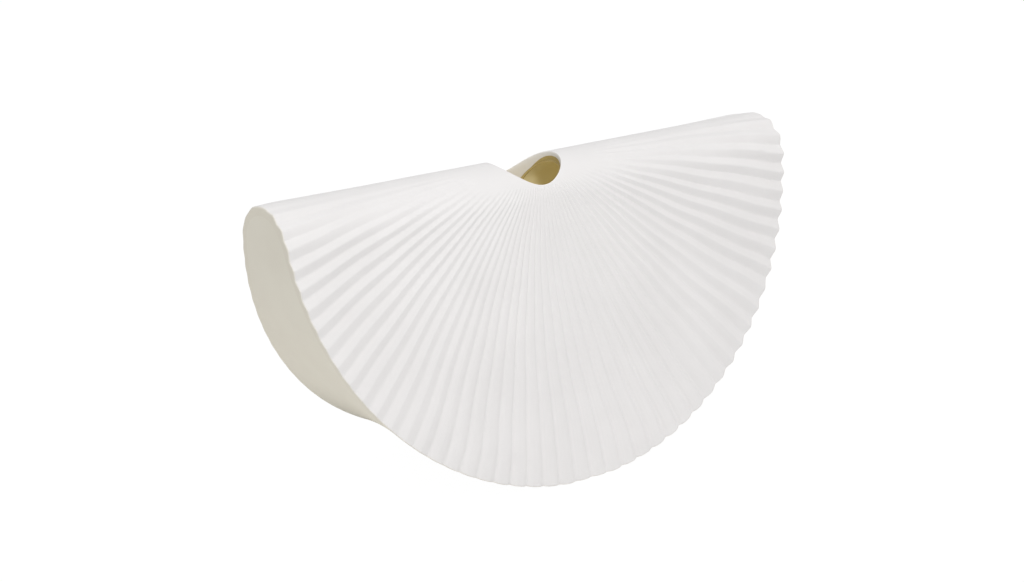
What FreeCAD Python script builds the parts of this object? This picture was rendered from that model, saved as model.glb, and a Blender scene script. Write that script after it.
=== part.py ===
import FreeCAD, Part
import math
import os
import Sketcher

# A fan vase: two ribbed clay slabs lean together under a rounded ridge, a round mouth is cut
# straight down through the ridge, and a plain, slightly hollow wall closes the half-round rim.
# X runs along the ridge, the front fan faces -Y, and Z = 0 is the ground flat of the two fans.

V = FreeCAD.Vector

# Driving sizes in millimetres, angles in degrees, and counts
DRIVING = (
    ("rim_radius", 151.7),
    ("rim_rise", 1.4),
    ("wall_sag", 4.0),
    ("foot_cut", 0.5),
    ("fold_radius", 21.5),
    ("lean_angle", 12.6),
    ("slab_thickness", 4.5),
    ("rib_count", 45),
    ("rib_pitch_angle", 3.65),
    ("rib_height", 2.1),
    ("rib_fade_width", 10.0),
    ("rib_centre_drop", 3.5),
    ("wave_angle", 0.8),
    ("wave_length", 88.0),
    ("swirl_angle", 5.0),
    ("mouth_margin", 2.5),
    ("mouth_offset", 3.8),
    ("mouth_depth", 40.0),
    ("seam_width", 5.0),
    ("glaze_clearance", 0.1),
    ("glaze_thickness", 0.6),
    ("overrun", 20.0),
)

# Surfaces that lie inside the vase's outer face, and how deep each lies
LAYERS = (
    ("outer", "0"),
    ("inner", "slab_thickness"),
    ("seated", "(slab_thickness + glaze_clearance)"),
    ("glazed", "(slab_thickness + glaze_clearance + glaze_thickness)"),
)

# Sizes worked out from the driving ones
WORKED = [
    ("ridge_height", "rim_radius + wall_sag - rim_rise - foot_cut"),
    ("rim_axis_height", "ridge_height + rim_rise"),
    ("fold_centre", "ridge_height - fold_radius"),
    ("fold_side", "fold_radius * cos(lean_angle * 1deg)"),
    ("fold_level", "fold_centre + fold_radius * sin(lean_angle * 1deg)"),
    ("fold_length", "fold_radius * (90 - lean_angle) * pi / 180"),
    ("foot_side", "fold_side + (fold_level + foot_cut) * tan(lean_angle * 1deg)"),
    ("sag_radius", "(foot_side * foot_side + wall_sag * wall_sag) / (2 * wall_sag)"),
    ("sag_centre", "rim_radius + sag_radius"),
    ("half_cut", "foot_side + overrun"),
    ("half_span", "rim_radius + overrun"),
    ("full_span", "2 * half_span"),
    ("fan_centre_side", "fold_side - fold_length * sin(lean_angle * 1deg)"),
    ("fan_centre_level", "fold_level + fold_length * cos(lean_angle * 1deg)"),
    ("mouth_radius", "fold_radius - mouth_margin"),
    ("mouth_foot", "ridge_height - mouth_depth"),
    ("mouth_cut", "mouth_depth + overrun"),
    ("corner_side", "foot_side - slab_thickness / cos(lean_angle * 1deg)"),
    ("band_side", "corner_side / 3"),
]
for layer, depth in LAYERS:
    WORKED += [
        ("arch_" + layer, "fold_radius - " + depth),
        ("shoulder_side_" + layer, "arch_" + layer + " * cos(lean_angle * 1deg)"),
        ("shoulder_level_" + layer, "fold_centre + arch_" + layer + " * sin(lean_angle * 1deg)"),
        ("skirt_side_" + layer, "shoulder_side_" + layer + " + (shoulder_level_" + layer
         + " + overrun) * tan(lean_angle * 1deg)"),
        ("rim_curve_" + layer, "sag_radius + " + depth),
        ("rim_edge_" + layer, "sag_centre - sqrt(rim_curve_" + layer + " ^ 2 - half_cut ^ 2)"),
        ("rim_corner_" + layer, "sag_centre - sqrt(rim_curve_" + layer + " ^ 2 - corner_side ^ 2)"),
        ("rim_band_" + layer, "sag_centre - sqrt(rim_curve_" + layer + " ^ 2 - band_side ^ 2)"),
    ]
WORKED += [
    ("corner_reach", "(fan_centre_level - rim_axis_height + rim_corner_inner)"
     " / cos(lean_angle * 1deg)"),
    ("shoulder_drop", "sag_centre - sqrt(rim_curve_inner ^ 2 - shoulder_side_inner ^ 2)"),
    ("shoulder_reach", "sqrt(shoulder_drop ^ 2 - (rim_axis_height - shoulder_level_inner) ^ 2)"),
    ("seam_radius", "((corner_reach - fold_length) ^ 2 + shoulder_reach ^ 2)"
     " / (2 * (corner_reach - fold_length))"),
    ("seam_centre", "corner_reach - seam_radius"),
    ("seam_depth", "2 * seam_width"),
    ("seam_face", "seam_radius - seam_width"),
    ("glazed_seam_face", "seam_face - glaze_thickness * sqrt(2)"),
]

# The crest of one rib: shares of the pitch and of the rib's height, from groove to groove
CREST_SHARES = ((0.0, 0.0), (0.38, 1.0), (0.62, 1.0))
# Where the rings of a ribbed slab lie, as shares of its reach from the fan's centre
RING_SHARES = (0.14, 0.3, 0.44, 0.58, 0.72, 0.86, 1.0)
# The part of a rib's height that is left where the slab meets the ridge
FADED_SHARE = 0.3
# The height of the ribs that point straight down, against those along the ridge
MIDDLE_SHARE = 0.6

doc = FreeCAD.newDocument("fan_vase")
sheet = doc.addObject("Spreadsheet::Sheet", "Sizes")


def fill_sheet():
    """Put every size into the sheet, each in a cell named by its alias."""
    row = 0
    for name, number in DRIVING:
        row += 1
        sheet.set("A%d" % row, name)
        sheet.set("B%d" % row, str(number))
        sheet.setAlias("B%d" % row, name)
    doc.recompute()
    for name, formula in WORKED:
        row += 1
        sheet.set("A%d" % row, name)
        sheet.set("B%d" % row, "=" + formula)
        sheet.setAlias("B%d" % row, name)
        doc.recompute()


def size(name):
    """The number in the named cell; a leading minus turns its sign."""
    if name == "zero":
        return 0.0
    if name.startswith("-"):
        return -size(name[1:])
    return float(sheet.get(name))


def cell(name):
    """The expression that reads the named cell."""
    return "Sizes." + name


def origin_feature(body, role):
    """The body's own origin plane or axis with this role."""
    return [item for item in body.Origin.OriginFeatures if item.Role == role][0]


def new_body(name):
    body = doc.addObject("PartDesign::Body", name)
    body.Label = name
    return body


def new_sketch(body, role, name):
    sketch = body.newObject("Sketcher::SketchObject", name)
    sketch.AttachmentSupport = (origin_feature(body, role), "")
    sketch.MapMode = "FlatFace"
    return sketch


def pin_vertex(sketch, geometry, point, across, up):
    """Hold one vertex at two named distances from the sketch's origin."""
    for kind, axis, name in (("DistanceX", -2, across), ("DistanceY", -1, up)):
        if name == "zero":
            sketch.addConstraint(Sketcher.Constraint("PointOnObject", geometry, point, axis))
            continue
        ends = (-1, 1, geometry, point)
        if name.startswith("-"):
            ends = (geometry, point, -1, 1)
        plain = name.lstrip("-")
        index = sketch.addConstraint(Sketcher.Constraint(kind, *ends, size(plain)))
        sketch.setExpression("Constraints[%d]" % index, cell(plain))


def draw_outline(sketch, vertices, arcs):
    """Draw a closed outline through named vertices.

    arcs maps the number of an edge to its centre (two names), its radius name and whether it
    runs anticlockwise from its first vertex to its second; other edges are straight.
    """
    points = [V(size(across), size(up), 0) for across, up in vertices]
    count = len(points)
    base = sketch.GeometryCount
    starts, ends = [], []
    for edge in range(count):
        first = points[edge]
        last = points[(edge + 1) % count]
        if edge not in arcs:
            sketch.addGeometry(Part.LineSegment(first, last), False)
            starts.append(1)
            ends.append(2)
            continue
        centre_x, centre_y, radius, anticlockwise = arcs[edge]
        centre = V(size(centre_x), size(centre_y), 0)
        low, high = (first, last) if anticlockwise else (last, first)
        angles = [math.atan2(spot.y - centre.y, spot.x - centre.x) for spot in (low, high)]
        circle = Part.Circle(centre, V(0, 0, 1), size(radius))
        sketch.addGeometry(Part.ArcOfCircle(circle, angles[0], angles[1]), False)
        starts.append(1 if anticlockwise else 2)
        ends.append(2 if anticlockwise else 1)
    for edge in range(count):
        following = (edge + 1) % count
        sketch.addConstraint(
            Sketcher.Constraint(
                "Coincident", base + edge, ends[edge], base + following, starts[following]))
    for edge, (across, up) in enumerate(vertices):
        pin_vertex(sketch, base + edge, starts[edge], across, up)
    for edge, (centre_x, centre_y, radius, anticlockwise) in arcs.items():
        index = sketch.addConstraint(Sketcher.Constraint("Radius", base + edge, size(radius)))
        sketch.setExpression("Constraints[%d]" % index, cell(radius))


def pad_both_ways(body, sketch, name, length):
    pad = body.newObject("PartDesign::Pad", name)
    pad.Profile = sketch
    pad.setExpression("Length", cell(length))
    pad.Midplane = True
    sketch.Visibility = False
    return pad


def rim_disc(name, layer):
    """A disc about an axis along Y, with a hollow rim, that holds one layer of the wall.

    The outer rim is one smooth hollow curve; inside, straight bands follow it.
    """
    body = new_body(name)
    sketch = new_sketch(body, "YZ_Plane", name + "_outline")
    edge = "rim_edge_" + layer
    vertices = [("-half_cut", "zero"), ("half_cut", "zero"), ("half_cut", edge)]
    arcs = {}
    if layer == "outer":
        arcs[2] = ("zero", "sag_centre", "rim_curve_outer", False)
    else:
        corner, band = "rim_corner_" + layer, "rim_band_" + layer
        vertices += [("corner_side", corner), ("band_side", band)]
        vertices += [("-band_side", band), ("-corner_side", corner)]
    vertices.append(("-half_cut", edge))
    draw_outline(sketch, vertices, arcs)
    turn = body.newObject("PartDesign::Revolution", name + "_turn")
    turn.Profile = sketch
    turn.ReferenceAxis = (sketch, ["H_Axis"])
    turn.Angle = 360
    body.setExpression("Placement.Base.z", cell("rim_axis_height"))
    return body


def roof_prism(name, layer):
    """The space under the ridge and between the two leaning fans, for one layer."""
    body = new_body(name)
    sketch = new_sketch(body, "YZ_Plane", name + "_outline")
    shoulder = ("shoulder_side_" + layer, "shoulder_level_" + layer)
    skirt = "skirt_side_" + layer
    vertices = (
        shoulder,
        ("-" + shoulder[0], shoulder[1]),
        ("-" + skirt, "-overrun"),
        (skirt, "-overrun"),
    )
    draw_outline(sketch, vertices, {0: ("zero", "fold_centre", "arch_" + layer, True)})
    pad_both_ways(body, sketch, name + "_length", "full_span")
    return body


def combine(kind, name, first, second):
    """Cut, Common or Fuse two objects."""
    item = doc.addObject("Part::" + kind, name)
    item.Label = name
    item.Base = first
    item.Tool = second
    return item


def ground_block():
    """Everything below the ground flats."""
    block = doc.addObject("Part::Box", "ground")
    block.setExpression("Length", cell("full_span"))
    block.setExpression("Width", cell("full_span"))
    block.setExpression("Height", cell("overrun"))
    block.setExpression("Placement.Base.x", "-Sizes.half_span")
    block.setExpression("Placement.Base.y", "-Sizes.half_span")
    block.setExpression("Placement.Base.z", "-Sizes.overrun")
    return block


def fan_frame(offset):
    """Where a point of the front fan's own frame lies: X along the ridge, Y up the slope, Z out."""
    turn = FreeCAD.Rotation(V(1, 0, 0), 90 - size("lean_angle"))
    centre = V(0, -size("fan_centre_side"), size("fan_centre_level"))
    return FreeCAD.Placement(centre, turn).multiply(FreeCAD.Placement(offset, FreeCAD.Rotation()))


def rib_turn(reach, angle):
    """How far, in radians, a rib has swung aside at this reach from the ribs' centre.

    The waves are mirrored left and right, and the ribs on the left also curl towards the middle.
    """
    wave = size("wave_angle") * math.cos(angle) * math.cos(2 * math.pi * reach / size("wave_length"))
    curl = size("swirl_angle") * (1 - math.cos(angle)) / 2 * (reach / size("corner_reach") - 0.5)
    return math.radians(wave - curl)


def rib_ring(reach):
    """The corrugated line across all ribs at one reach from the ribs' centre."""
    pitch = math.radians(size("rib_pitch_angle"))
    count = int(size("rib_count"))
    start = (math.pi - count * pitch) / 2
    full_height = size("rib_height") * reach / size("corner_reach")
    points = []
    for rib in range(count + 1):
        low = start + rib * pitch
        middle = low + pitch / 2
        below_fold = reach * math.sin(middle) + size("rib_centre_drop") - size("fold_length")
        grown = min(1.0, max(0.0, below_fold / size("rib_fade_width")))
        height = full_height * (FADED_SHARE + (1.0 - FADED_SHARE) * grown)
        height *= MIDDLE_SHARE + (1.0 - MIDDLE_SHARE) * math.cos(middle) ** 2
        shares = CREST_SHARES if rib < count else CREST_SHARES[:1]
        for across, up in shares:
            angle = low + across * pitch
            angle += rib_turn(reach, angle)
            level = height * (up - 0.5)
            points.append(V(reach * math.cos(angle), -reach * math.sin(angle), level))
    return points


def flat_face(points):
    return Part.Face(Part.makePolygon(points + [points[0]]))


def ribbed_slab():
    """The ribbed sheet of clay in the fan's own frame, larger than the fan all round."""
    slab_floor = -size("slab_thickness")
    outer_reach = size("fan_centre_level") + size("overrun") / 2

    def dropped(point):
        return V(point.x, point.y, slab_floor)

    rings = [rib_ring(share * outer_reach) for share in RING_SHARES]
    faces = []
    for inner, outer in zip(rings, rings[1:]):
        for step in range(len(inner) - 1):
            near = Part.makeLine(inner[step], inner[step + 1])
            far = Part.makeLine(outer[step], outer[step + 1])
            faces.append(Part.makeRuledSurface(near, far))
        for end in (0, -1):
            faces.append(flat_face([inner[end], outer[end], dropped(outer[end]), dropped(inner[end])]))
    for ring in (rings[0], rings[-1]):
        for first, last in zip(ring, ring[1:]):
            faces.append(flat_face([first, last, dropped(last), dropped(first)]))
    outline = list(rings[0])
    outline += [ring[-1] for ring in rings[1:-1]]
    outline += reversed(rings[-1])
    outline += [ring[0] for ring in reversed(rings[1:-1])]
    faces.append(flat_face([dropped(point) for point in outline]))
    slab = doc.addObject("Part::Feature", "ribbed_slab")
    slab.Shape = Part.Solid(Part.Shell(faces))
    slab.Placement = fan_frame(V(-size("mouth_offset"), -size("rib_centre_drop"), 0))
    return slab


def fan_field():
    """The half of the fan's plane that lies below the fold, as a flat block."""
    field = doc.addObject("Part::Box", "fan_field")
    field.setExpression("Length", cell("full_span"))
    field.setExpression("Width", cell("full_span"))
    field.setExpression("Height", "2 * Sizes.overrun")
    corner = V(-size("half_span"), -size("fold_length") - size("full_span"), -size("overrun"))
    field.Placement = fan_frame(corner)
    return field


def mirrored(name, source):
    """The same piece on the back of the vase."""
    item = doc.addObject("Part::Mirroring", name)
    item.Label = name
    item.Source = source
    item.Normal = V(0, 1, 0)
    return item


def saddle_blank():
    """The rounded ridge before its ends are trimmed and its mouth is cut."""
    body = new_body("saddle_blank")
    sketch = new_sketch(body, "YZ_Plane", "saddle_outline")
    outer = ("shoulder_side_outer", "shoulder_level_outer")
    inner = ("shoulder_side_inner", "shoulder_level_inner")
    vertices = (outer, ("-" + outer[0], outer[1]), ("-" + inner[0], inner[1]), inner)
    arcs = {
        0: ("zero", "fold_centre", "arch_outer", True),
        2: ("zero", "fold_centre", "arch_inner", False),
    }
    draw_outline(sketch, vertices, arcs)
    pad_both_ways(body, sketch, "saddle_length", "full_span")
    return body


def mouth_cutter():
    """The upright round cut of the mouth, which also shaves the tops of the fans inside."""
    cutter = doc.addObject("Part::Cylinder", "mouth_cutter")
    cutter.setExpression("Radius", cell("mouth_radius"))
    cutter.setExpression("Height", cell("mouth_cut"))
    cutter.setExpression("Placement.Base.x", "-Sizes.mouth_offset")
    cutter.setExpression("Placement.Base.z", cell("mouth_foot"))
    return cutter


def seam_ring(name, face):
    """A ring for the corner between the front fan and the wall, its inside face at 45 degrees.

    It lies on the fan's inner side, and face names the radius of its inside face there.
    """
    block = doc.addObject("Part::Cylinder", name + "_block")
    block.setExpression("Radius", cell("half_span"))
    hole = doc.addObject("Part::Cone", name + "_hole")
    hole.setExpression("Radius1", cell(face) + " + Sizes.seam_depth")
    hole.setExpression("Radius2", cell(face))
    centre = V(0, -size("seam_centre"), -size("slab_thickness") - size("seam_depth"))
    for item in (block, hole):
        item.setExpression("Height", cell("seam_depth"))
        item.Placement = fan_frame(centre)
    return combine("Cut", name, block, hole)


def build():
    """Make every piece and return those that are separate on the real vase."""
    fill_sheet()
    wall_disc = combine("Cut", "wall_disc", rim_disc("full_disc", "outer"), ground_block())
    wall_core = rim_disc("wall_core", "inner")
    inside = roof_prism("inside", "inner")
    mouth = mouth_cutter()

    slab = combine("Common", "fan_slab", ribbed_slab(), fan_field())
    whole_fan = combine("Common", "whole_fan", slab, wall_disc)
    front_fan = combine("Cut", "front_fan", whole_fan, mouth)
    back_fan = mirrored("back_fan", front_fan)

    whole_saddle = combine("Common", "whole_saddle", saddle_blank(), wall_disc)
    ridge_saddle = combine("Cut", "ridge_saddle", whole_saddle, mouth)

    wall_band = combine("Common", "wall_band", wall_disc, inside)
    gusset_wall = combine("Cut", "gusset_wall", wall_band, wall_core)

    seated_core = rim_disc("seated_core", "seated")
    cavity = combine("Common", "cavity", seated_core, roof_prism("seated_roof", "seated"))
    front_ring = seam_ring("front_ring", "seam_face")
    front_seam_coil = combine("Common", "front_seam_coil", front_ring, cavity)
    back_seam_coil = mirrored("back_seam_coil", front_seam_coil)

    both_rings = combine("Fuse", "both_rings", front_ring, mirrored("back_ring", front_ring))
    glaze_outside = combine("Cut", "glaze_outside", cavity, both_rings)
    glazed_ring = seam_ring("glazed_ring", "glazed_seam_face")
    glazed_rings = combine("Fuse", "glazed_rings", glazed_ring, mirrored("back_glazed_ring", glazed_ring))
    glazed_space = combine(
        "Common", "glazed_space", rim_disc("glazed_core", "glazed"), roof_prism("glazed_roof", "glazed"))
    glaze_inside = combine("Cut", "glaze_inside", glazed_space, glazed_rings)
    glaze_coat = combine("Cut", "glaze_coat", glaze_outside, glaze_inside)
    glaze_lining = combine("Cut", "glaze_lining", glaze_coat, mouth)
    return (front_fan, back_fan, ridge_saddle, gusset_wall,
            front_seam_coil, back_seam_coil, glaze_lining)


pieces = build()
doc.recompute()

for item in doc.Objects:
    if "Invalid" in item.State or "Error" in item.State:
        raise ValueError(item.Label + " is in state " + str(item.State))

os.makedirs("parts", exist_ok=True)
for piece in pieces:
    if piece.Shape.isNull() or not piece.Shape.isValid() or not piece.Shape.Solids:
        raise ValueError(piece.Label + " has no valid shape")
    piece.Shape.exportStep("parts/" + piece.Label + ".step")
    print(piece.Label, len(piece.Shape.Solids), round(piece.Shape.Volume), piece.Shape.BoundBox)
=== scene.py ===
import math

import bpy
import numpy as np
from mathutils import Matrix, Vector


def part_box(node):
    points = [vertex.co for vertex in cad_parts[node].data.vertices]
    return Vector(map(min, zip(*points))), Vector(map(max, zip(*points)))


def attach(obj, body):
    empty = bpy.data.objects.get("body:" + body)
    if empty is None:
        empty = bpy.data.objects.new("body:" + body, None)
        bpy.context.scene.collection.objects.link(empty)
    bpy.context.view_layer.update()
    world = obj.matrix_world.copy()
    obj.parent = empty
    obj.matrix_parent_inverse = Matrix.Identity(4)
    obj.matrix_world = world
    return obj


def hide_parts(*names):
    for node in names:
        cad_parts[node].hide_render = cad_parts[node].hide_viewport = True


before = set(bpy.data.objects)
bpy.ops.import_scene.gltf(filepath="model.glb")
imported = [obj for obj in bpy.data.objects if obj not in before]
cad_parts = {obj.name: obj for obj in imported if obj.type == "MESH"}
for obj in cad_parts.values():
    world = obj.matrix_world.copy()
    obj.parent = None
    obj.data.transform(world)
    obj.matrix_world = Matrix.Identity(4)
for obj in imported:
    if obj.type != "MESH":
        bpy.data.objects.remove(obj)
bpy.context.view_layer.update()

# Sizes that the vase's solids have as well, in metres and radians
MM = 0.001
RIM_RADIUS = 151.7 * MM
RIM_RISE = 1.4 * MM
WALL_SAG = 4.0 * MM
FOOT_CUT = 0.5 * MM
FOLD_RADIUS = 21.5 * MM
LEAN = math.radians(12.6)
SLAB = 4.5 * MM
RIB_COUNT = 45
RIB_PITCH = math.radians(3.65)
RIB_CENTRE_DROP = 3.5 * MM
MOUTH_RADIUS = 19.0 * MM
MOUTH_X = -3.8 * MM

# Sizes of the finish alone: the mouth's front edge lies a little nearer, and edges are soft
MOUTH_FRONT = 17.8 * MM
MOUTH_ROUNDING = 0.7 * MM
RIM_ROUNDING = 0.9 * MM

# The ribs' height, and the share of it where they point straight down
RIB_HEIGHT = 2.2 * MM
MIDDLE_SHARE = 0.5
# It grows outwards from the mouth with this power of the reach
HEIGHT_POWER = 0.8
# How much higher the ribs are at the right end, and lower at the left end
RIGHT_SHARE = 0.15
# How much lower they are between the middle and the left end, and where that sets in and ends
DIP_SHARE = 0.18
DIP_START = (math.radians(60), math.radians(95))
DIP_END = (math.radians(165), math.radians(135))
# The mean of the ribs' uneven heights, and two waves: the share, the turn per rib and the start
UNEVEN_SHARE = 0.86
UNEVEN_WAVES = ((0.08, 2.4, 0.0), (0.06, 5.1, 1.0))

# Ribs that point down have flat tops and narrow grooves: the tops' level, and how narrow
TOP_SHARE = 0.4
GROOVE_POWER = 6.5
# Ribs along the ridge are pleats: how straight their flanks are; 1 would be a sharp zigzag
PLEAT_SHARE = 0.95
# Where one turns to the other, in the squared cosine of the rib's angle
PLEAT_RANGE = (0.05, 0.45)

# How far from the mouth's middle the ribs set in
MOUTH_FADE = (15 * MM, 23 * MM)
# How far down from the ridge's top they reach full height, and how much later along the ridge
FLANK_START = 15 * MM
FLANK_FULL = 23 * MM
FLANK_MORE = 16 * MM
# Above that these shares of it are left, one after the other on the way out from the mouth
RIDGE_STEPS = ((0.5, 28 * MM, 60 * MM), (0.35, 100 * MM, 145 * MM))
# They fade out at the very top
TOP_FADE = (1 * MM, 11 * MM)

# The height of the back fan's ribs at its rim, against their own height this far further in
BACK_RIM_SHARE = 0.25
BACK_RIM_WIDTH = 12 * MM
# How far the back fan draws in at its two upper corners, and where that sets in: outwards,
# down from the ridge's top, and in the squared cosine of the angle
BACK_PINCH = 1.0 * MM
PINCH_REACH = (100 * MM, 150 * MM)
PINCH_DOWN = (8 * MM, 20 * MM)
PINCH_RANGE = (0.2, 0.6)

# The ribs curl aside, more the nearer to the mouth, and most at one angle of the rim. Angles of
# the rim are counted from its right end.
CURL = math.radians(5.6)
CURL_ANGLE = math.radians(117)
CURL_WIDTH = math.radians(52)
CURL_POWER = 1.5
CURL_REACH = 45 * MM
# Halfway out they bow a little, and next to the right end they bow the other way
BOW = math.radians(0.5)
END_BOW = math.radians(-1.8)
END_BOW_WIDTH = math.radians(17)
# Along the rim they drift from even spacing in one slow wave, which fades at both ends
DRIFT = math.radians(1.1)
DRIFT_ANGLE = math.radians(91)
DRIFT_WAVE = math.radians(132)
DRIFT_FADE = math.radians(45)
# A faint wobble on top of it, its waves over the angle and over the reach
WOBBLE = math.radians(0.1)
WOBBLE_TURNS = 9
WOBBLE_REACH = 7 * MM

# The glaze ends this far below the mouth's edge, and further below it at the front and back; from
# this line down the mouth's wall takes the dark tone of painted shade
GLAZE_TOP = 2.3 * MM
GLAZE_DROP = 13.0 * MM
GLAZE_DROP_POWER = 3
GLAZE_SOFTNESS = 0.2 * MM
# The share of painted shade, in the mouth's dark tone, on the mouth's bare wall, and how far below
# the edge it comes in
BARE_WALL_SHADE_SHARE = 0.14
BARE_WALL_SHADE_DEPTH = (0.5 * MM, 4 * MM)
# How far below the mouth's edge the clay has turned to the lighter tone of painted light
MOUTH_LIGHT_DEPTH = 0.6 * MM
# How far past the mouth's wall the lining has the dark tone of painted shade
NECK_MARGIN = 0.5 * MM

# Rows and columns of the meshes
FAN_COLUMNS = 900
FAN_ROWS = 120
FAN_INNER_ROWS = 24
FAN_JOINT_ROWS = 2
RIM_FACE_ROWS = 4
RIM_EDGE_ROWS = 5
END_COLUMNS = 110
RIDGE_ROWS = 56
RIDGE_INNER_ROWS = 16
# Rows of the ridge lie closer towards the mouth, by this power
RIDGE_CROWDING = 1.35
MOUTH_EDGE_ROWS = 6
MOUTH_WALL_ROWS = 24
WALL_ROWS = 32
# The wall's inside takes every so many of the rows outside, and is this much narrower where
# the outside is as wide as the fold
WALL_INNER_STEP = 4
WALL_INNER_GAP = 1.2 * MM
# A column of the ridge that comes this near to the upper corners' distance ends at the side wall
END_MARGIN = 0.5 * MM
# The wall takes the fan's inner line up to this short of the fold, in radians
JOINT_MARGIN = 1e-4
# Points that round to the same steps of this length are one
WELD = 2e-7
# Edges sharper than this show as edges
SHARP_ANGLE = math.radians(38)

# Searches: where the rim can lie, and how often that range is halved
REACH_RANGE = (100 * MM, 200 * MM)
LENGTH_RANGE = (100 * MM, 180 * MM)
HALVINGS = 40
# Rounds of the searches for a rib's root and for the inner edge, which keeps a least width
ROOT_ROUNDS = 6
INNER_EDGE_ROUNDS = 30
INNER_EDGE_LEAST_SHARE = 0.5
# A length that stands for none, in a division
TINY = 1e-9

# Tones of the clays and of the glaze, a darker and a lighter one, and single tones in the mouth
FAN_TONES = ((0.775, 0.76, 0.75), (0.805, 0.79, 0.78))
# The side wall's clay is the fans' clay with painted warm shade: a yellower tone for the side that
# lies in shade
SHADED_WALL_TONES = ((0.85, 0.803, 0.687), (0.88, 0.838, 0.72))
SEAM_TONES = ((0.76, 0.72, 0.62), (0.80, 0.76, 0.66))
GLAZE_TONES = ((0.90, 0.81, 0.50), (0.94, 0.87, 0.60))
# Painted light: a lighter clay tone on the mouth's wall, for the light that falls in at its edge
MOUTH_LIGHT_TONE = (0.96, 0.945, 0.91)
# Painted shade: the dark tone of the mouth's shaded depth, on its wall below the glaze line, on the
# lining under it and fading over the ridge's inside
MOUTH_SHADE_TONE = (0.52, 0.40, 0.15)
# A faint glow that stands for the light scattered inside the vase
GLAZE_GLOW = (0.95, 0.80, 0.42)
GLAZE_GLOW_STRENGTH = 0.055
# Layers of grain: waves in a metre and the height
CLAY_GRAIN = ((2600.0, 0.03 * MM), (420.0, 0.05 * MM))
GLAZE_GRAIN = ((180.0, 0.12 * MM),)
# The shares that the meshes hold for each point, and the tone that each one brings in: painted warm
# shade on the sides, painted light at the mouth's edge and painted shade deeper in the mouth
TINT_TONES = (("side_shade_tint", SHADED_WALL_TONES[0]), ("mouth_light_tint", MOUTH_LIGHT_TONE), ("mouth_shade_tint", MOUTH_SHADE_TONE))

# The floor's half width, its grey in the light, and how far and how bright it shows as white
FLOOR_HALF = 4.0
FLOOR_GREY = 0.88
FLOOR_WHITE_SHARE = 0.96
FLOOR_WHITE = 1.03

# The sky's tone and strength, and what the lamps point at
SKY_TONE = (0.97, 0.98, 1.0)
SKY_STRENGTH = 0.51
KEY_TONE = (1.0, 0.985, 0.975)
LIT_PLACE = (0, 0, 0.08)

# Sizes worked out from them and from the frame
RIDGE_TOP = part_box("ridge_saddle")[1].z
RIM_AXIS = RIDGE_TOP + RIM_RISE
FOLD_CENTRE = RIDGE_TOP - FOLD_RADIUS
FOLD_ANGLE = math.pi / 2 - LEAN
FOLD_LENGTH = FOLD_RADIUS * FOLD_ANGLE
FOLD_SIDE = FOLD_RADIUS * math.cos(LEAN)
FOLD_LEVEL = FOLD_CENTRE + FOLD_RADIUS * math.sin(LEAN)
FOOT_SIDE = FOLD_SIDE + (FOLD_LEVEL + FOOT_CUT) * math.tan(LEAN)
SAG_RADIUS = (FOOT_SIDE ** 2 + WALL_SAG ** 2) / (2 * WALL_SAG)
SAG_CENTRE = RIM_RADIUS + SAG_RADIUS
INNER_RADIUS = FOLD_RADIUS - SLAB
INNER_SIDE = INNER_RADIUS * math.cos(LEAN)
INNER_LEVEL = FOLD_CENTRE + INNER_RADIUS * math.sin(LEAN)

# The camera stands where the photograph was taken from
CAMERA_PLACE = Vector((-0.6398, -0.8500, RIDGE_TOP + 0.2818))
CAMERA_LOOK = Vector((0.5650, 0.7631, -0.3138))
CAMERA_SENSOR = 36.0
CAMERA_LENS = 78.45


# Shape of the folded sheet

def ramp(value, low, high):
    """A smooth step from 0 at low to 1 at high."""
    share = np.clip((value - low) / (high - low), 0.0, 1.0)
    return share * share * (3.0 - 2.0 * share)


def folded(along, down, depth=0.0):
    """The point of the sheet at a distance along the ridge and down from it, below its outside."""
    side = np.where(down < 0, -1.0, 1.0)
    far = np.abs(down)
    angle = np.minimum(far, FOLD_LENGTH) / FOLD_RADIUS
    beyond = np.maximum(far - FOLD_LENGTH, 0.0)
    radius = FOLD_RADIUS - depth
    across = radius * np.sin(angle) + beyond * math.sin(LEAN)
    level = FOLD_CENTRE + radius * np.cos(angle) - beyond * math.cos(LEAN)
    return np.stack(np.broadcast_arrays(along, -side * across, level), axis=-1)


def rim_radius(side, depth=0.0):
    """Distance from the rim's axis to the hollow wall, at a distance to the side of the middle."""
    return SAG_CENTRE - np.sqrt((SAG_RADIUS + depth) ** 2 - side ** 2)


def rim_excess(points):
    """How far points lie outside the wall."""
    return np.hypot(points[..., 0], points[..., 2] - RIM_AXIS) - rim_radius(points[..., 1])


def rib_swing(reach, root):
    """How far the rib that meets the rim at the angle root lies aside at this reach."""
    inward = np.clip((RIM_RADIUS - reach) / (RIM_RADIUS - CURL_REACH), 0.0, 1.0)
    curl = CURL * np.exp(-((root - CURL_ANGLE) / CURL_WIDTH) ** 2) * inward ** CURL_POWER
    bow = BOW + END_BOW * np.exp(-(root / END_BOW_WIDTH) ** 2)
    return curl + bow * np.sin(math.pi * inward)


def rib_root(reach, angle):
    """The angle at which the rib that passes here would meet an evenly ribbed rim."""
    root = angle
    for _ in range(ROOT_ROUNDS):
        root = angle - rib_swing(reach, root)
    drift = DRIFT * np.sin(2 * math.pi * (root - DRIFT_ANGLE) / DRIFT_WAVE)
    drift *= ramp(root, 0.0, DRIFT_FADE) * ramp(root, math.pi, math.pi - DRIFT_FADE)
    return root + drift + WOBBLE * np.sin(WOBBLE_TURNS * angle + reach / WOBBLE_REACH)


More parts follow.
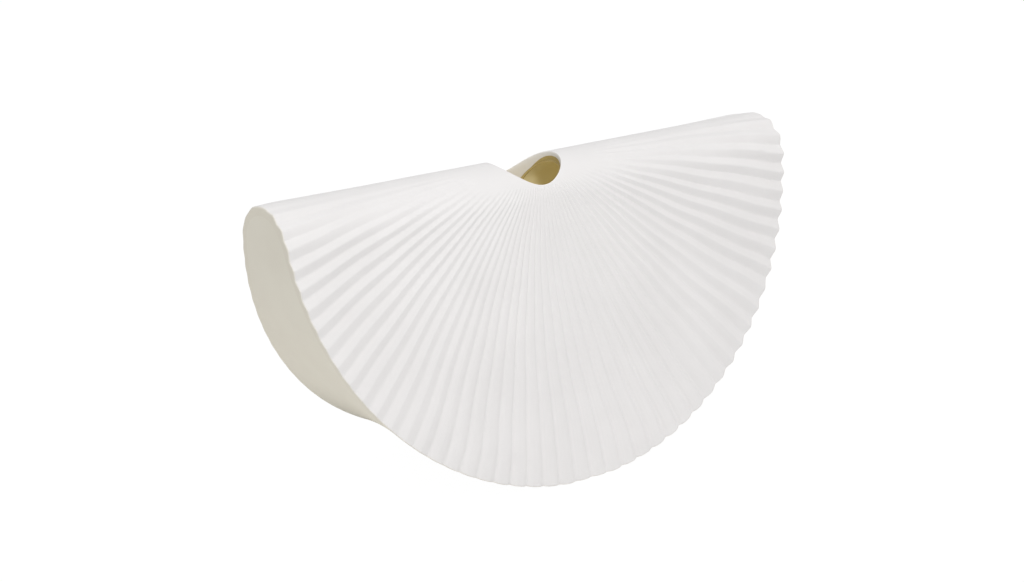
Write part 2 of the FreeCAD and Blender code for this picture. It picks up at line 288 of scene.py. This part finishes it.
def rib_height(rib, reach, angle, end):
    """The full height of the rib that passes here; end is the squared cosine of the angle."""
    uneven = UNEVEN_SHARE
    for share, turn, start in UNEVEN_WAVES:
        uneven = uneven + share * np.sin(rib * turn + start)
    height = RIB_HEIGHT * (MIDDLE_SHARE + (1 - MIDDLE_SHARE) * end) * uneven
    height = height * ((reach / RIM_RADIUS) ** HEIGHT_POWER * (1 + RIGHT_SHARE * np.cos(angle)))
    return height * (1 - DIP_SHARE * ramp(angle, *DIP_START) * ramp(angle, *DIP_END))


def ridge_share(reach, far, end):
    """The share of the ribs' height that is left at this distance down from the ridge's top."""
    upper = sum(share * ramp(reach, low, high) for share, low, high in RIDGE_STEPS)
    upper = upper * ramp(far, *TOP_FADE)
    return upper + (1 - upper) * ramp(far, FLANK_START, FLANK_FULL + FLANK_MORE * end)


def back_rim_share(along, down):
    """The share of the ribs' height that is left near the back fan's rim."""
    further_in = ramp(-rim_excess(folded(along, down)), 0.0, BACK_RIM_WIDTH)
    return np.where(down < 0, BACK_RIM_SHARE + (1 - BACK_RIM_SHARE) * further_in, 1.0)


def rib_profile(turn, end):
    """The ribs' section, between -0.6 and 0.5 of their height; turn counts the ribs."""
    grooved = TOP_SHARE - np.abs(np.cos(math.pi * turn)) ** GROOVE_POWER
    pleated = np.arcsin(-PLEAT_SHARE * np.cos(2 * math.pi * turn)) / (2 * math.asin(PLEAT_SHARE))
    return grooved + (pleated - grooved) * ramp(end, *PLEAT_RANGE)


def back_pinch(reach, down, end):
    """How far the back fan draws in towards its upper corners."""
    pinch = np.where(down < 0, BACK_PINCH, 0.0) * ramp(reach, *PINCH_REACH)
    return pinch * (ramp(np.abs(down), *PINCH_DOWN) * ramp(end, *PINCH_RANGE))


def rib_lift(along, down):
    """Height of the ribbed face above or below the plain sheet."""
    far = np.abs(down)
    flat_x = along - MOUTH_X
    flat_s = far - RIB_CENTRE_DROP
    reach = np.hypot(flat_x, flat_s)
    angle = np.arctan2(flat_s, flat_x)
    angle = np.where(angle < -math.pi / 2, angle + 2 * math.pi, angle)
    end = np.cos(angle) ** 2
    first_groove = (math.pi - RIB_COUNT * RIB_PITCH) / 2
    turn = (rib_root(reach, angle) - first_groove) / RIB_PITCH
    height = rib_height(np.floor(turn), reach, angle, end)
    height = height * ridge_share(reach, far, end) * ramp(reach, *MOUTH_FADE)
    height = height * back_rim_share(along, down)
    return height * rib_profile(turn, end) - back_pinch(reach, down, end)


def ribbed(along, down):
    """The point of the ribbed face over a place on the sheet."""
    return folded(along, down, -rib_lift(along, down))


# Where the sheet meets the wall

def find_edge(count, search_range, is_outside):
    """For each of count lines, the distance from which on its points lie outside, by halving."""
    low = np.full(count, search_range[0])
    high = np.full(count, search_range[1])
    for _ in range(HALVINGS):
        middle = (low + high) / 2
        outside = is_outside(middle)
        high = np.where(outside, middle, high)
        low = np.where(outside, low, middle)
    return (low + high) / 2


def reach_to_rim(angle, side):
    """How far the ribbed face runs from the mouth's middle to the wall, for each angle."""
    def is_outside(reach):
        points = ribbed(MOUTH_X + reach * np.cos(angle), side * reach * np.sin(angle))
        return (rim_excess(points) > 0) | (points[..., 2] < 0)
    return find_edge(len(angle), REACH_RANGE, is_outside)


def length_to_rim(down, direction):
    """Where along the ridge a line of the ribbed fold meets the wall, right for 1, left for -1."""
    def is_outside(length):
        return rim_excess(ribbed(direction * length, down)) > 0
    return direction * find_edge(len(down), LENGTH_RANGE, is_outside)


def inner_length_to_rim(down, direction):
    """The same for the inner face of the fold."""
    def is_outside(length):
        return rim_excess(folded(direction * length, down, SLAB)) > 0
    return direction * find_edge(len(down), LENGTH_RANGE, is_outside)


def corner_angle(direction):
    """The angle, seen from the mouth's middle, of the corner where fold and rim meet."""
    along = length_to_rim(np.array([FOLD_LENGTH]), direction)[0]
    return math.atan2(FOLD_LENGTH, along - MOUTH_X)


FAN_ANGLES = np.linspace(corner_angle(1.0), corner_angle(-1.0), FAN_COLUMNS + 1)


def rim_turn(points):
    """The turn of points about the rim's axis, 0 straight below it."""
    return np.arctan2(points[:, 0], RIM_AXIS - points[:, 2])


def inner_edge(points):
    """On the wall, at the same turn about the rim's axis, the line that the fan's inside meets."""
    turn = rim_turn(points)
    side = np.sign(points[:, 1])
    across = np.abs(points[:, 1]) - SLAB
    for _ in range(INNER_EDGE_ROUNDS):
        level = RIM_AXIS - rim_radius(across) * np.cos(turn)
        across = INNER_SIDE + (INNER_LEVEL - level) * math.tan(LEAN)
        across = np.maximum(across, INNER_SIDE * INNER_EDGE_LEAST_SHARE)
    level = RIM_AXIS - rim_radius(across) * np.cos(turn)
    across = np.where(level > INNER_LEVEL, INNER_SIDE, across)
    level = np.clip(level, 0.0, INNER_LEVEL)
    along = np.sqrt(rim_radius(across) ** 2 - (RIM_AXIS - level) ** 2)
    return np.stack([np.sign(turn) * along, side * across, level], axis=-1)


def on_wall(first, last, steps):
    """Rows along the wall from one line of points to another at about the same turn."""
    turn = rim_turn(first)
    end_turn = rim_turn(last)
    rows = []
    for step in range(steps + 1):
        share = step / steps
        across = first[:, 1] + (last[:, 1] - first[:, 1]) * share
        radius = rim_radius(across)
        here = turn + (end_turn - turn) * share
        level = RIM_AXIS - radius * np.cos(here)
        rows.append(np.stack([radius * np.sin(here), across, np.maximum(level, 0.0)], axis=-1))
    rows[0] = first
    rows[-1] = last
    return rows


# Mesh making

def blend_rows(first, last, steps):
    """Rows of points from one row to another."""
    return [first + (last - first) * step / steps for step in range(steps + 1)]


def direction_to(points, corner):
    """Unit vectors from a corner towards points."""
    away = points - corner
    return away / np.maximum(np.linalg.norm(away, axis=-1, keepdims=True), TINY)


def round_corner(before, corner, after, radius, steps):
    """Points of a rounded corner; before and after lie on the two faces that meet there."""
    to_before = direction_to(before, corner)
    to_after = direction_to(after, corner)
    rows = []
    for step in range(steps + 1):
        share = step / steps
        rows.append(corner + radius * ((1 - share) ** 2 * to_before + share ** 2 * to_after))
    return rows


def falling(steps):
    """Shares that fall to 0 in equal steps, without the 1 at the start."""
    return [1.0 - step / steps for step in range(1, steps + 1)]


def welded(grid, wrap):
    """Points of a grid, each once, the faces between them, and where each point was found."""
    rows, columns = grid.shape[:2]
    index = np.arange(rows * columns).reshape(rows, columns)
    if wrap:
        index = np.concatenate([index, index[:, :1]], axis=1)
    corners = (index[:-1, :-1], index[1:, :-1], index[1:, 1:], index[:-1, 1:])
    faces = np.stack(corners, axis=-1).reshape(-1, 4)
    points = grid.reshape(-1, 3)
    keys = np.round(points / WELD).astype(np.int64)
    _, first, weld = np.unique(keys, axis=0, return_index=True, return_inverse=True)
    cleaned = []
    for face in weld.reshape(-1)[faces].tolist():
        corners = [corner for place, corner in enumerate(face) if corner != face[place - 1]]
        if len(set(corners)) == len(corners) and len(corners) > 2:
            cleaned.append(corners)
    return points[first], cleaned, first


def make_piece(name, grid, wrap, tints, node, material):
    """One mesh from a grid of points, welded where they meet; it rides on the vase.

    Each row of the grid has its share of the side's painted warm shade, of the painted light at the
    mouth's edge and of the painted shade deeper in the mouth.
    """
    points, faces, first = welded(grid, wrap)
    mesh = bpy.data.meshes.new(name)
    mesh.from_pydata(points.tolist(), [], faces)
    for (label, _), tint in zip(TINT_TONES, tints):
        attribute = mesh.attributes.new(label, "FLOAT", "POINT")
        shares = np.stack([np.broadcast_to(share, grid.shape[1]) for share in tint]).astype(float)
        attribute.data.foreach_set("value", shares.reshape(-1)[first])
    mesh.validate()
    mesh.polygons.foreach_set("use_smooth", [True] * len(mesh.polygons))
    mesh.set_sharp_from_angle(angle=SHARP_ANGLE)
    mesh.materials.append(material)
    piece = bpy.data.objects.new(name, mesh)
    bpy.context.scene.collection.objects.link(piece)
    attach(piece, "root")
    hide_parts(node)


# The two fans

def shaved(points, side):
    """Push points of a fan's inside out to the mouth's upright cut, near the top."""
    room = np.sqrt(np.maximum(MOUTH_RADIUS ** 2 - (points[:, 0] - MOUTH_X) ** 2, 0.0))
    if side > 0:
        room *= MOUTH_FRONT / MOUTH_RADIUS
    room = np.where(points[:, 2] > FOLD_CENTRE - FOLD_RADIUS, room, 0.0)
    across = np.maximum(np.abs(points[:, 1]), room)
    return np.stack([points[:, 0], -side * across, points[:, 2]], axis=-1)


def make_fan(node, side, material):
    """One ribbed fan with its rounded rim, rim face and plain inside; returns its inner edge."""
    def outside_at(reach):
        return ribbed(MOUTH_X + reach * np.cos(FAN_ANGLES), side * reach * np.sin(FAN_ANGLES))

    reach = reach_to_rim(FAN_ANGLES, side)
    near = reach - RIM_ROUNDING
    start = np.minimum(FOLD_LENGTH / np.sin(FAN_ANGLES), near)
    rows = []
    for step in range(FAN_ROWS + 1):
        rows.append(outside_at(start + (near - start) * step / FAN_ROWS))
    side_shade_tint = [0.0] * len(rows)

    corner = outside_at(reach)
    inner = inner_edge(corner)
    edge = round_corner(rows[-1], corner, inner, RIM_ROUNDING, RIM_EDGE_ROWS)
    rows += edge[1:]
    # The rim's rounded edge turns to the side's painted warm shade, and the rim face and inside keep
    # it
    side_shade_tint += [step / RIM_EDGE_ROWS for step in range(1, RIM_EDGE_ROWS + 1)]

    rows += on_wall(edge[-1], inner, RIM_FACE_ROWS)[1:]
    down = side * np.full_like(start, FOLD_LENGTH)
    top = folded(MOUTH_X + start * np.cos(FAN_ANGLES), down, SLAB)
    rows += [shaved(row, side) for row in blend_rows(inner, top, FAN_INNER_ROWS)[1:]]
    rows += blend_rows(rows[-1], rows[0], FAN_JOINT_ROWS)[1:]
    side_shade_tint += [1.0] * (len(rows) - len(side_shade_tint))

    grid = np.stack(rows)
    grid[..., 2] = np.maximum(grid[..., 2], 0.0)
    if side > 0:
        grid = grid[:, ::-1]
    plain = [0.0] * len(rows)
    make_piece(node + "_face", grid, False, (side_shade_tint, plain, plain), node, material)
    return inner


# The ridge with its mouth

def ridge_border():
    """Where each column of the ridge ends at the ridge's own border, once round it."""
    front = MOUTH_X + FOLD_LENGTH / np.tan(FAN_ANGLES)
    down = np.full_like(front, FOLD_LENGTH)
    back = front[::-1].copy()
    front[0], front[-1] = [length_to_rim(down[:1], way)[0] for way in (1.0, -1.0)]
    back[0], back[-1] = [length_to_rim(-down[:1], way)[0] for way in (-1.0, 1.0)]
    steps = np.linspace(FOLD_LENGTH, -FOLD_LENGTH, 2 * END_COLUMNS + 1)[1:-1]
    return np.concatenate([
        np.stack([front, down], axis=-1),
        np.stack([length_to_rim(steps, -1.0), steps], axis=-1),
        np.stack([back, -down], axis=-1),
        np.stack([length_to_rim(steps[::-1], 1.0), steps[::-1]], axis=-1)])


def mouth_plan(border):
    """The mouth's edge seen from above, a point for each column of the ridge."""
    turn = np.arctan2(border[:, 1], border[:, 0] - MOUTH_X)
    reach = np.where(turn > 0, MOUTH_FRONT, MOUTH_RADIUS)
    return np.stack([MOUTH_X + MOUTH_RADIUS * np.cos(turn), reach * np.sin(turn)], axis=-1)


def mouth_foot(plan):
    """Where the mouth's upright wall meets the vase's inside."""
    across = np.abs(plan[:, 1])
    arch = FOLD_CENTRE + np.sqrt(np.maximum(INNER_RADIUS ** 2 - across ** 2, 0.0))
    joint = INNER_LEVEL + (across - INNER_SIDE) * math.tan(LEAN)
    level = np.where(across < INNER_SIDE, arch, joint)
    return np.stack([plan[:, 0], -np.sign(plan[:, 1]) * across, level], axis=-1)


def mouth_tints(depth, plan):
    """Shares of the painted light and of the painted shade in the mouth, at a depth below the mouth's
    edge; the painted shade is full from where the glaze starts.
    """
    across = np.abs(plan[:, 1])
    glaze_line = GLAZE_TOP + GLAZE_DROP * (across / MOUTH_RADIUS) ** GLAZE_DROP_POWER
    bare_wall_shade = BARE_WALL_SHADE_SHARE * ramp(depth, *BARE_WALL_SHADE_DEPTH)
    glazed = ramp(depth - glaze_line, -GLAZE_SOFTNESS, GLAZE_SOFTNESS)
    return ramp(depth, 0.0, MOUTH_LIGHT_DEPTH), bare_wall_shade + (1 - bare_wall_shade) * glazed


def ridge_inside(border, plan, is_end):
    """Rows of the ridge's inner face, from the mouth's wall to the border."""
    widest = math.sin(FOLD_ANGLE)
    foot_angle = np.arcsin(np.clip(plan[:, 1] / INNER_RADIUS, -widest, widest))
    border_angle = border[:, 1] / FOLD_RADIUS
    inner_x = border[:, 0].copy()
    for direction in (1.0, -1.0):
        chosen = is_end & (np.sign(border[:, 0]) == direction)
        inner_x[chosen] = inner_length_to_rim(border[chosen, 1], direction)
    rows = []
    for step in range(1, RIDGE_INNER_ROWS + 1):
        share = step / RIDGE_INNER_ROWS
        here = foot_angle + (border_angle - foot_angle) * share
        along = plan[:, 0] + (inner_x - plan[:, 0]) * share
        rows.append(folded(along, here * FOLD_RADIUS, SLAB))
    return rows


def make_saddle(material):
    """The rounded ridge with its round mouth, soft mouth edge and upright mouth wall."""
    border = ridge_border()
    is_end = np.abs(border[:, 0]) > np.abs(border[[0, FAN_COLUMNS], 0]).min() - END_MARGIN
    near = border.copy()
    near[is_end, 0] -= RIM_ROUNDING * np.sign(border[is_end, 0])
    plan = mouth_plan(border)
    mouth = np.stack([plan[:, 0], FOLD_RADIUS * np.arcsin(plan[:, 1] / FOLD_RADIUS)], axis=-1)
    away = near - mouth
    lip = mouth + MOUTH_ROUNDING * away / np.linalg.norm(away, axis=-1, keepdims=True)
    rows = []
    for step in range(RIDGE_ROWS + 1):
        place = lip + (near - lip) * (1 - step / RIDGE_ROWS) ** RIDGE_CROWDING
        rows.append(ribbed(place[:, 0], place[:, 1]))
    outer_count = len(rows)

    corner = ribbed(mouth[:, 0], mouth[:, 1])
    foot = mouth_foot(plan)
    rows += round_corner(rows[-1], corner, foot, MOUTH_ROUNDING, MOUTH_EDGE_ROWS)[1:]
    rows += blend_rows(rows[-1], foot, MOUTH_WALL_ROWS)[1:]
    # Row by row down the mouth's wall: painted light near the edge, then painted shade deeper in
    mouth_light_tint = [0.0] * outer_count
    mouth_shade_tint = [0.0] * outer_count
    for row in rows[outer_count:]:
        mouth_light_share, mouth_shade_share = mouth_tints(corner[:, 2] - row[:, 2], plan)
        mouth_light_tint.append(mouth_light_share)
        mouth_shade_tint.append(mouth_shade_share)
    side_shade_tint = [0.0] * len(rows)

    rows += ridge_inside(border, plan, is_end)
    # Painted shade of the mouth's depth, fading out over the ridge's inside
    mouth_shade_tint += falling(RIDGE_INNER_ROWS)
    # The ridge's inside takes the side's painted warm shade, and so do its rim face and rounded edge
    # below
    side_shade_tint += [1.0] * RIDGE_INNER_ROWS

    outer_corner = ribbed(border[:, 0], border[:, 1])
    rounding = RIM_ROUNDING * is_end[:, None]
    edge = round_corner(rows[-1], outer_corner, rows[0], rounding, RIM_EDGE_ROWS)
    rows += blend_rows(rows[-1], edge[0], RIM_FACE_ROWS)[1:] + edge[1:]
    side_shade_tint += [1.0] * RIM_FACE_ROWS + falling(RIM_EDGE_ROWS)
    mouth_shade_tint += [0.0] * (len(rows) - len(mouth_shade_tint))
    mouth_light_tint += [0.0] * (len(rows) - len(mouth_light_tint))

    # The columns are turned round, so that the faces look outwards, and their tints with them
    grid = np.stack(rows)[:, ::-1]
    tints = []
    for tint in (side_shade_tint, mouth_light_tint, mouth_shade_tint):
        tints.append([np.broadcast_to(share, len(border))[::-1] for share in tint])
    make_piece("ridge_saddle_face", grid, True, tints, "ridge_saddle", material)


# The side wall

def make_wall(inner_front, material):
    """The plain hollow wall between the insides of the two fans."""
    steps = np.linspace(0.0, FOLD_LENGTH, END_COLUMNS + 1)
    right = folded(inner_length_to_rim(steps, 1.0), steps, SLAB)
    left = folded(inner_length_to_rim(steps[::-1], -1.0), steps[::-1], SLAB)
    joint = rim_turn(right)[-1]
    below = np.abs(rim_turn(inner_front)) < joint - JOINT_MARGIN
    line = np.concatenate([right, inner_front[below], left])
    line[0, 1] = 0.0
    line[-1, 1] = 0.0
    outside = on_wall(line, line * np.array([1.0, -1.0, 1.0]), WALL_ROWS)
    turn = rim_turn(line)
    inside = []
    for row in outside[::-1][::WALL_INNER_STEP]:
        across = row[:, 1] * (1.0 - WALL_INNER_GAP / FOLD_SIDE)
        radius = rim_radius(across, SLAB)
        level = RIM_AXIS - radius * np.cos(turn)
        inside.append(np.stack([radius * np.sin(turn), across, level], axis=-1))
    rows = outside + inside + [outside[0]]
    grid = np.stack(rows)[:, ::-1]
    plain = [0.0] * len(rows)
    make_piece(
        "gusset_wall_face", grid, False, (plain, plain, plain), "gusset_wall", material)


# Materials

def new_material(name, roughness, specular):
    """A material with a plain shader of this roughness and gloss."""
    material = bpy.data.materials.new(name)
    material.use_nodes = True
    shader = material.node_tree.nodes["Principled BSDF"]
    shader.inputs["Roughness"].default_value = roughness
    shader.inputs["Specular IOR Level"].default_value = specular
    return material, material.node_tree, shader


def add_node(tree, kind, **values):
    """A shader node with these values on its sockets."""
    node = tree.nodes.new(kind)
    for key, value in values.items():
        node.inputs[key].default_value = value
    return node


def mottled(tree, shader, tones, scale, detail):
    """Colour that drifts between tones with a soft noise in the vase's own coordinates."""
    where = tree.nodes.new("ShaderNodeTexCoord")
    noise = add_node(tree, "ShaderNodeTexNoise", Scale=scale, Detail=detail, Roughness=0.6)
    blend = tree.nodes.new("ShaderNodeValToRGB")
    for element, place, tone in zip(blend.color_ramp.elements, (0.35, 0.65), tones):
        element.position = place
        element.color = (*tone, 1.0)
    tree.links.new(where.outputs["Object"], noise.inputs["Vector"])
    tree.links.new(noise.outputs["Fac"], blend.inputs["Fac"])
    tree.links.new(blend.outputs["Color"], shader.inputs["Base Color"])
    return where


def grain(tree, shader, where, layers):
    """Fine grain as bump, from layers of scale and height."""
    previous = None
    for scale, height in layers:
        noise = add_node(tree, "ShaderNodeTexNoise", Scale=scale, Detail=3.0)
        bump = add_node(tree, "ShaderNodeBump", Strength=1.0, Distance=height)
        tree.links.new(where.outputs["Object"], noise.inputs["Vector"])
        tree.links.new(noise.outputs["Fac"], bump.inputs["Height"])
        if previous:
            tree.links.new(previous.outputs["Normal"], bump.inputs["Normal"])
        previous = bump
    tree.links.new(previous.outputs["Normal"], shader.inputs["Normal"])


def mix_in(tree, shader, share, tone):
    """Turn the shader's colour towards a tone by the share that a socket gives."""
    mix = tree.nodes.new("ShaderNodeMixRGB")
    mix.inputs["Color2"].default_value = (*tone, 1.0)
    colour = shader.inputs["Base Color"]
    tree.links.new(share, mix.inputs["Fac"])
    tree.links.new(colour.links[0].from_socket, mix.inputs["Color1"])
    tree.links.new(mix.outputs["Color"], colour)


def clay(name, tones, tints=()):
    """Matt unglazed clay with a fine tooth and faint, slow changes of tone.

    Each tint is the label of a share that the mesh holds, and the tone that it brings in.
    """
    material, tree, shader = new_material(name, roughness=0.78, specular=0.3)
    where = mottled(tree, shader, tones, scale=22.0, detail=4.0)
    grain(tree, shader, where, CLAY_GRAIN)
    for label, tone in tints:
        share = tree.nodes.new("ShaderNodeAttribute")
        share.attribute_name = label
        mix_in(tree, shader, share.outputs["Fac"], tone)
    return material


def within_mouth(tree, where):
    """1 within the mouth's radius, seen from above, and 0 outside it."""
    flat = tree.nodes.new("ShaderNodeVectorMath")
    flat.operation = "MULTIPLY"
    flat.inputs[1].default_value = (1.0, 1.0, 0.0)
    span = tree.nodes.new("ShaderNodeVectorMath")
    span.operation = "DISTANCE"
    span.inputs[1].default_value = (MOUTH_X, 0.0, 0.0)
    edge = tree.nodes.new("ShaderNodeMath")
    edge.operation = "LESS_THAN"
    edge.inputs[1].default_value = MOUTH_RADIUS + NECK_MARGIN
    tree.links.new(where.outputs["Object"], flat.inputs[0])
    tree.links.new(flat.outputs[0], span.inputs[0])
    tree.links.new(span.outputs["Value"], edge.inputs[0])
    return edge.outputs[0]


def glaze(name):
    """Thin warm glaze, slightly uneven, with painted shade round the mouth and a faint painted glow
    that stands for the vase's inner light.
    """
    material, tree, shader = new_material(name, roughness=0.28, specular=0.5)
    where = mottled(tree, shader, GLAZE_TONES, scale=40.0, detail=3.0)
    grain(tree, shader, where, GLAZE_GRAIN)
    # Painted shade: the lining under the mouth takes the mouth's dark tone
    mix_in(tree, shader, within_mouth(tree, where), MOUTH_SHADE_TONE)
    shader.inputs["Emission Color"].default_value = (*GLAZE_GLOW, 1.0)
    shader.inputs["Emission Strength"].default_value = GLAZE_GLOW_STRENGTH
    return material


# The floor, the light and the camera

def seen_directly(tree):
    """1 for rays from the camera, from gloss or through glass."""
    path = tree.nodes.new("ShaderNodeLightPath")
    total = path.outputs["Is Camera Ray"]
    for output in ("Is Glossy Ray", "Is Transmission Ray"):
        more = tree.nodes.new("ShaderNodeMath")
        more.operation = "MAXIMUM"
        tree.links.new(total, more.inputs[0])
        tree.links.new(path.outputs[output], more.inputs[1])
        total = more.outputs[0]
    return total


def floor_material():
    """White to the camera, and still holding the shadow."""
    material, tree, shader = new_material("floor_white", roughness=0.9, specular=0.5)
    shader.inputs["Base Color"].default_value = (FLOOR_GREY, FLOOR_GREY, FLOOR_GREY, 1)
    glow = add_node(tree, "ShaderNodeEmission", Strength=FLOOR_WHITE)
    share = tree.nodes.new("ShaderNodeMath")
    share.operation = "MULTIPLY"
    share.inputs[1].default_value = FLOOR_WHITE_SHARE
    mix = tree.nodes.new("ShaderNodeMixShader")
    tree.links.new(seen_directly(tree), share.inputs[0])
    tree.links.new(share.outputs[0], mix.inputs[0])
    tree.links.new(shader.outputs[0], mix.inputs[1])
    tree.links.new(glow.outputs[0], mix.inputs[2])
    tree.links.new(mix.outputs[0], tree.nodes["Material Output"].inputs["Surface"])
    return material


def add_floor():
    """A wide square floor at the level of the vase's foot."""
    mesh = bpy.data.meshes.new("floor")
    corners = [(x * FLOOR_HALF, y * FLOOR_HALF, 0) for x, y in ((-1, -1), (1, -1), (1, 1), (-1, 1))]
    mesh.from_pydata(corners, [], [(0, 1, 2, 3)])
    mesh.materials.append(floor_material())
    floor = bpy.data.objects.new("floor", mesh)
    bpy.context.scene.collection.objects.link(floor)


def light_world():
    """A soft even sky that the camera sees as plain white."""
    world = bpy.data.worlds.new("studio")
    bpy.context.scene.world = world
    world.use_nodes = True
    tree = world.node_tree
    sky = tree.nodes["Background"]
    sky.inputs["Color"].default_value = (*SKY_TONE, 1)
    sky.inputs["Strength"].default_value = SKY_STRENGTH
    white = tree.nodes.new("ShaderNodeBackground")
    white.inputs["Color"].default_value = (1, 1, 1, 1)
    mix = tree.nodes.new("ShaderNodeMixShader")
    tree.links.new(seen_directly(tree), mix.inputs[0])
    tree.links.new(sky.outputs[0], mix.inputs[1])
    tree.links.new(white.outputs[0], mix.inputs[2])
    tree.links.new(mix.outputs[0], tree.nodes["World Output"].inputs["Surface"])


def add_softbox(name, place, width, power, tone):
    """A square lamp that points at the vase."""
    data = bpy.data.lights.new(name, "AREA")
    data.shape = "SQUARE"
    data.size = width
    data.energy = power
    data.color = tone
    lamp = bpy.data.objects.new(name, data)
    lamp.location = place
    lamp.rotation_euler = (Vector(LIT_PLACE) - Vector(place)).to_track_quat("-Z", "Y").to_euler()
    bpy.context.scene.collection.objects.link(lamp)


def add_camera():
    """The camera that the scene is seen through."""
    data = bpy.data.cameras.new("camera")
    data.sensor_fit = "HORIZONTAL"
    data.sensor_width = CAMERA_SENSOR
    data.lens = CAMERA_LENS
    camera = bpy.data.objects.new("camera", data)
    camera.location = CAMERA_PLACE
    camera.rotation_euler = CAMERA_LOOK.to_track_quat("-Z", "Y").to_euler()
    bpy.context.scene.collection.objects.link(camera)
    bpy.context.scene.camera = camera


# The fans' and ridge's clay, with the painted shade and light that the meshes' shares bring in
fan_clay = clay("fan_clay", FAN_TONES, TINT_TONES)
# The side wall: the fans' clay with painted warm shade
wall_clay = clay("wall_clay", SHADED_WALL_TONES)
seam_clay = clay("seam_clay", SEAM_TONES)
inner_glaze = glaze("inner_glaze")

front_inner = make_fan("front_fan", 1.0, fan_clay)
make_fan("back_fan", -1.0, fan_clay)
make_saddle(fan_clay)
make_wall(front_inner, wall_clay)
for node, material in (
        ("front_seam_coil", seam_clay), ("back_seam_coil", seam_clay), ("glaze_lining", inner_glaze)):
    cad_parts[node].data.materials.clear()
    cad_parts[node].data.materials.append(material)

add_floor()
light_world()
add_softbox("key", place=(-0.32, -1.17, 1.58), width=0.4, power=16.5, tone=KEY_TONE)
add_softbox("top", place=(0.0, 0.1, 1.8), width=0.8, power=4.0, tone=SKY_TONE)
add_camera()
bpy.context.scene.view_settings.view_transform = "Standard"
